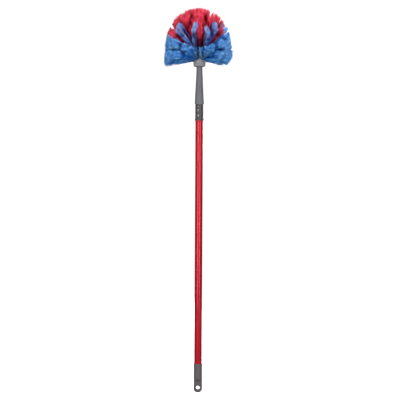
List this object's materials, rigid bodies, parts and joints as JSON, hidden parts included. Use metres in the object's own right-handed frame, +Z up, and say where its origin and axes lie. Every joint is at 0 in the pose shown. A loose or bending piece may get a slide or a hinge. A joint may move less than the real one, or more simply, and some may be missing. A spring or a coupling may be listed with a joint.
{
  "type": "cobweb duster",
  "caption": "Telescopic cobweb duster: a domed brush of blue and red split bristles on a tapered grey socket, screwed onto a red twist-lock pole with a grey grip and a hanging hole.",
  "frame": {"origin": "bottom centre of the hand grip, on the pole's axis", "axes": "+Z up the pole towards the brush, -Y the front, which the hanging hole and the hub pin face, +X to the right"},
  "size_m": [0.2246, 0.2248, 1.2525],
  "materials": {
    "red_lacquer": "satin red lacquer over thin steel tube",
    "dark_grey_plastic": "moulded, fine matt grain",
    "light_grey_plastic": "moulded, satin",
    "galvanised_steel": "zinc plated",
    "natural_nylon": "moulded nylon",
    "black_rubber": "matt",
    "blue_bristle": "split plastic filament",
    "red_bristle": "split plastic filament"
  },
  "bodies": {
    "outer_pole": {"outer_tube": "red_lacquer", "hand_grip": "dark_grey_plastic", "tube_collar": "dark_grey_plastic", "collar_bush": "natural_nylon"},
    "lock_carriage": {"expander_sleeve": "natural_nylon"},
    "cone_nut_body": {"cone_nut": "dark_grey_plastic"},
    "inner_pole": {"inner_tube": "galvanised_steel", "lock_plug": "dark_grey_plastic", "lock_spindle": "galvanised_steel", "spindle_washer": "galvanised_steel", "plug_pin": "galvanised_steel", "thread_tip": "dark_grey_plastic", "tip_pin": "galvanised_steel"},
    "seat_ring_body": {"seat_ring": "black_rubber"},
    "brush_head": {"brush_neck": "light_grey_plastic", "brush_hub": "light_grey_plastic", "hub_pin": "light_grey_plastic", "tuft_low_01": "blue_bristle", "tuft_low_02": "blue_bristle", "tuft_low_03": "blue_bristle", "tuft_low_04": "blue_bristle", "tuft_low_05": "blue_bristle", "tuft_low_06": "blue_bristle", "tuft_low_07": "blue_bristle", "tuft_low_08": "blue_bristle", "tuft_low_09": "blue_bristle", "tuft_low_10": "blue_bristle", "tuft_mid_01": "blue_bristle", "tuft_mid_02": "blue_bristle", "tuft_mid_03": "blue_bristle", "tuft_mid_04": "blue_bristle", "tuft_mid_05": "blue_bristle", "tuft_mid_06": "blue_bristle", "tuft_mid_07": "blue_bristle", "tuft_mid_08": "blue_bristle", "tuft_mid_09": "blue_bristle", "tuft_mid_10": "blue_bristle", "tuft_shoulder_01": "red_bristle", "tuft_shoulder_02": "blue_bristle", "tuft_shoulder_03": "blue_bristle", "tuft_shoulder_04": "red_bristle", "tuft_shoulder_05": "blue_bristle", "tuft_shoulder_06": "red_bristle", "tuft_shoulder_07": "blue_bristle", "tuft_shoulder_08": "blue_bristle", "tuft_shoulder_09": "red_bristle", "tuft_shoulder_10": "blue_bristle", "tuft_crown_01": "red_bristle", "tuft_crown_02": "red_bristle", "tuft_crown_03": "red_bristle", "tuft_crown_04": "red_bristle", "tuft_crown_05": "red_bristle", "tuft_crown_06": "red_bristle", "tuft_crown_07": "red_bristle", "tuft_crown_08": "red_bristle", "tuft_top_01": "red_bristle", "tuft_top_02": "red_bristle", "tuft_top_03": "red_bristle", "tuft_top_04": "red_bristle"}
  },
  "joints": [
    {"name": "pole_extend", "type": "slide", "parent": "outer_pole", "child": "lock_carriage", "axis": [0, 0, 1], "range_m": [0, 0.7]},
    {"name": "twist_lock", "type": "hinge", "parent": "lock_carriage", "child": "inner_pole", "pos_m": [0, 0, 0.13], "axis": [0, 0, -1], "range_deg": [0, 360]},
    {"name": "cone_draw", "type": "slide", "parent": "lock_carriage", "child": "cone_nut_body", "axis": [0, 0, 1], "range_m": [0, 0.003]},
    {"name": "head_unscrew", "type": "hinge", "parent": "inner_pole", "child": "seat_ring_body", "pos_m": [0, 0, 0.94], "axis": [0, 0, 1], "range_deg": [0, 2160]},
    {"name": "head_lift", "type": "slide", "parent": "seat_ring_body", "child": "brush_head", "axis": [0, 0, 1], "range_m": [0, 0.03]}
  ],
  "couplings": [
    {"joint": "cone_draw", "follows": "twist_lock", "m_per_rad": 0.00047746},
    {"joint": "head_lift", "follows": "head_unscrew", "m_per_rad": 0.00079577}
  ]
}
